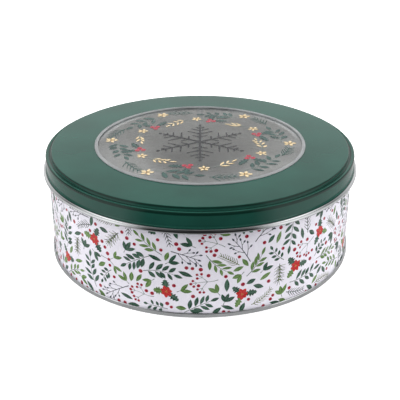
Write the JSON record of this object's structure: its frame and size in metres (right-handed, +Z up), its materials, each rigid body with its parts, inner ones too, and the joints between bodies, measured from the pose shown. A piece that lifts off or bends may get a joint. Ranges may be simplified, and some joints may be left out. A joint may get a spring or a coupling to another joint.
{
  "type": "window lid tin",
  "caption": "Round shallow tinplate tin with a slip lid that lifts straight off and a clear round window in the lid.",
  "frame": {"origin": "centre of the base ring, on the surface that the tin stands on", "axes": "+Z up along the tin's axis, +Y towards the side seam at the back"},
  "size_m": [0.206, 0.206, 0.0711],
  "materials": {
    "printed_tinplate": "gloss varnish over a pale ground printed with sprigs, leaves and berries",
    "bare_tinplate": "bright tin plating, lightly rolled grain",
    "green_enamelled_tinplate": "gloss dark green enamel",
    "clear_window_sheet": "clear gloss sheet, printed round its rim"
  },
  "bodies": {
    "tin": {"body_wall": "printed_tinplate", "base_panel": "bare_tinplate"},
    "lid": {"lid_shell": "green_enamelled_tinplate", "window_pane": "clear_window_sheet", "window_ring": "bare_tinplate"}
  },
  "joints": [
    {"name": "lid_lift", "type": "slide", "parent": "tin", "child": "lid", "axis": [0, 0, 1], "range_m": [0, 0.1]}
  ]
}
